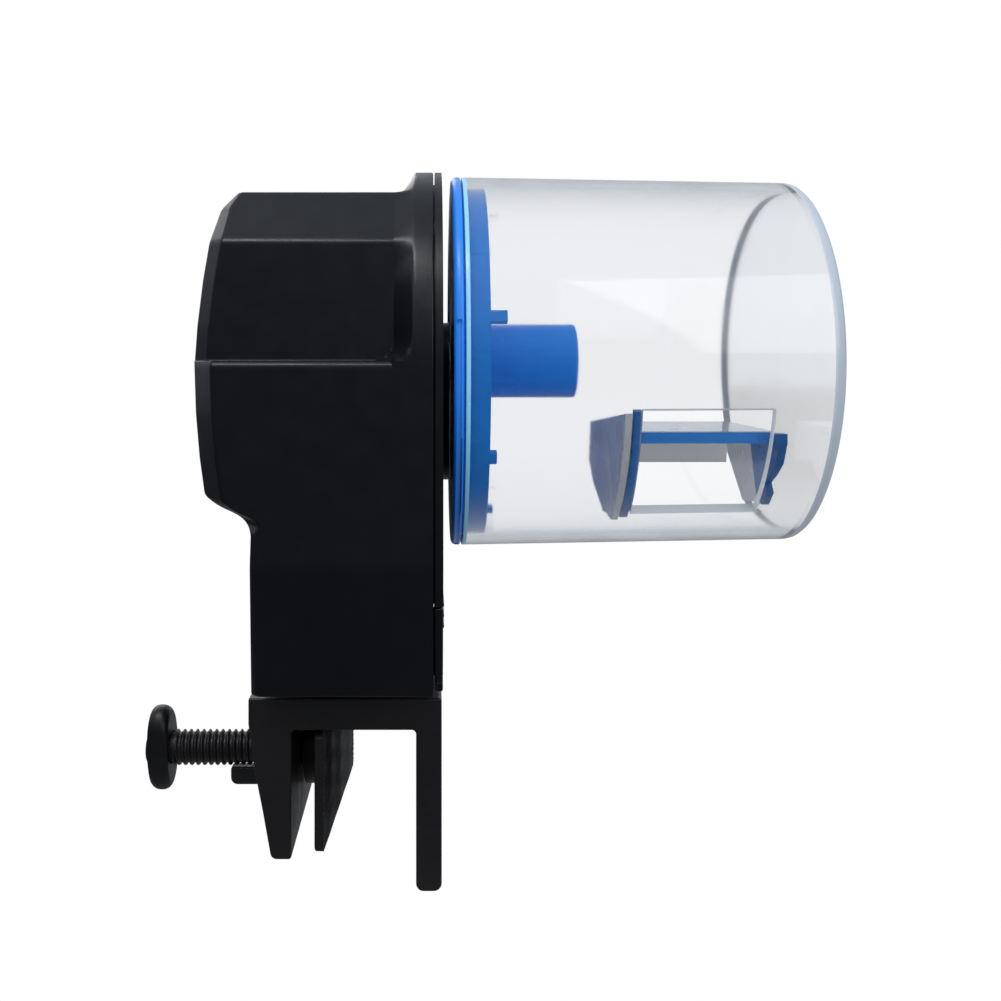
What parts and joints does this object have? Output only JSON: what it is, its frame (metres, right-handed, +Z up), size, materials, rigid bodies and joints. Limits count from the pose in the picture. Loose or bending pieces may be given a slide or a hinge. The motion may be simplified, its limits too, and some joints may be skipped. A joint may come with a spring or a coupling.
{
  "type": "automatic fish feeder",
  "caption": "Clamp-on aquarium feeder: a battery gear drive with display turns a clear food drum that lets measured doses fall through an adjustable outlet.",
  "frame": {"origin": "centre of the clamp bracket's rim seat, the flat underside that rests on the tank's rim", "axes": "+X from the display towards the end of the drum, +Y across the housing, +Z up"},
  "size_m": [0.1261, 0.0738, 0.1317],
  "materials": {
    "black_shell": "semi-gloss moulded ABS",
    "black_clamp": "satin moulded plastic",
    "blue_lid": "gloss moulded blue plastic",
    "blue_slider": "gloss moulded blue plastic",
    "clear_drum": "clear moulded plastic",
    "display_lens": "clear smoked window",
    "lcd": "grey-green display",
    "circuit_board": "green solder mask",
    "buttons": "satin",
    "button_mat": "moulded silicone",
    "steel": "plated steel",
    "brass": "turned",
    "acetal": "natural acetal",
    "battery": "printed sleeve, left plain"
  },
  "bodies": {
    "housing": {"front_housing": "black_shell", "back_cover": "black_shell", "cover_screw_1": "steel", "cover_screw_2": "steel", "cover_screw_3": "steel", "cover_screw_4": "steel", "display_lens": "display_lens", "lcd_module": "lcd", "control_board": "circuit_board", "button_mat": "button_mat", "battery_tray": "black_shell", "cell_1": "battery", "cell_2": "battery", "contact_link": "steel", "contact_1": "steel", "contact_2": "steel", "contact_spring_1": "steel", "contact_spring_2": "steel", "gear_motor": "steel", "gear_arbor_1": "steel", "gear_arbor_2": "steel", "gear_plate": "acetal", "shaft_bush": "brass", "clamp_bracket": "black_clamp", "bracket_screw_1": "steel", "bracket_screw_2": "steel"},
    "battery_door": {"battery_door": "black_shell"},
    "button_1": {"button_1": "buttons"},
    "button_2": {"button_2": "buttons"},
    "button_3": {"button_3": "buttons"},
    "button_4": {"button_4": "buttons"},
    "motor_pinion": {"motor_pinion": "brass"},
    "first_gear": {"first_gear": "acetal"},
    "second_gear": {"second_gear": "acetal"},
    "drive": {"output_gear": "acetal", "drive_shaft": "acetal"},
    "lid": {"drum_lid": "blue_lid"},
    "drum": {"food_drum": "clear_drum", "dose_tray": "clear_drum"},
    "slider": {"dose_slider": "blue_slider"},
    "pad": {"clamp_pad": "black_clamp"},
    "screw": {"clamp_screw": "black_clamp", "clamp_knob": "black_clamp"}
  },
  "joints": [
    {"name": "drum_spin", "type": "hinge", "parent": "housing", "child": "drive", "pos_m": [0.01, 0, 0.066], "axis": [1, 0, 0], "continuous": true},
    {"name": "second_gear_spin", "type": "hinge", "parent": "housing", "child": "second_gear", "pos_m": [0.005, -0.01299, 0.0735], "axis": [1, 0, 0], "continuous": true},
    {"name": "first_gear_spin", "type": "hinge", "parent": "housing", "child": "first_gear", "pos_m": [0.001, -0.00611, 0.08333], "axis": [1, 0, 0], "continuous": true},
    {"name": "motor_pinion_spin", "type": "hinge", "parent": "housing", "child": "motor_pinion", "pos_m": [-0.001, 0.00548, 0.08022], "axis": [1, 0, 0], "continuous": true},
    {"name": "lid_pull", "type": "slide", "parent": "drive", "child": "lid", "axis": [1, 0, 0], "range_m": [0, 0.03]},
    {"name": "drum_twist", "type": "hinge", "parent": "lid", "child": "drum", "pos_m": [0.02, 0, 0.066], "axis": [1, 0, 0], "range_deg": [-12, 0]},
    {"name": "dose_slide", "type": "slide", "parent": "drum", "child": "slider", "axis": [1, 0, 0], "range_m": [0, 0.0055]},
    {"name": "door_hinge", "type": "hinge", "parent": "housing", "child": "battery_door", "pos_m": [0.012, 0, 0.00975], "axis": [0, 1, 0], "range_deg": [0, 100]},
    {"name": "button_1_press", "type": "slide", "parent": "housing", "child": "button_1", "axis": [1, 0, 0], "range_m": [0, 0.0008], "stiffness_N_per_m": 400},
    {"name": "button_2_press", "type": "slide", "parent": "housing", "child": "button_2", "axis": [1, 0, 0], "range_m": [0, 0.0008], "stiffness_N_per_m": 400},
    {"name": "button_3_press", "type": "slide", "parent": "housing", "child": "button_3", "axis": [1, 0, 0], "range_m": [0, 0.0008], "stiffness_N_per_m": 400},
    {"name": "button_4_press", "type": "slide", "parent": "housing", "child": "button_4", "axis": [1, 0, 0], "range_m": [0, 0.0008], "stiffness_N_per_m": 400},
    {"name": "pad_slide", "type": "slide", "parent": "housing", "child": "pad", "axis": [1, 0, 0], "range_m": [0, 0.01]},
    {"name": "screw_spin", "type": "hinge", "parent": "pad", "child": "screw", "pos_m": [-0.02, 0, -0.0108], "axis": [1, 0, 0], "range_deg": [0, 2840]}
  ],
  "couplings": [
    {"joint": "second_gear_spin", "follows": "drum_spin", "ratio": -4},
    {"joint": "first_gear_spin", "follows": "drum_spin", "ratio": 12},
    {"joint": "motor_pinion_spin", "follows": "drum_spin", "ratio": -36},
    {"joint": "screw_spin", "follows": "pad_slide", "rad_per_m": 4947.4}
  ]
}
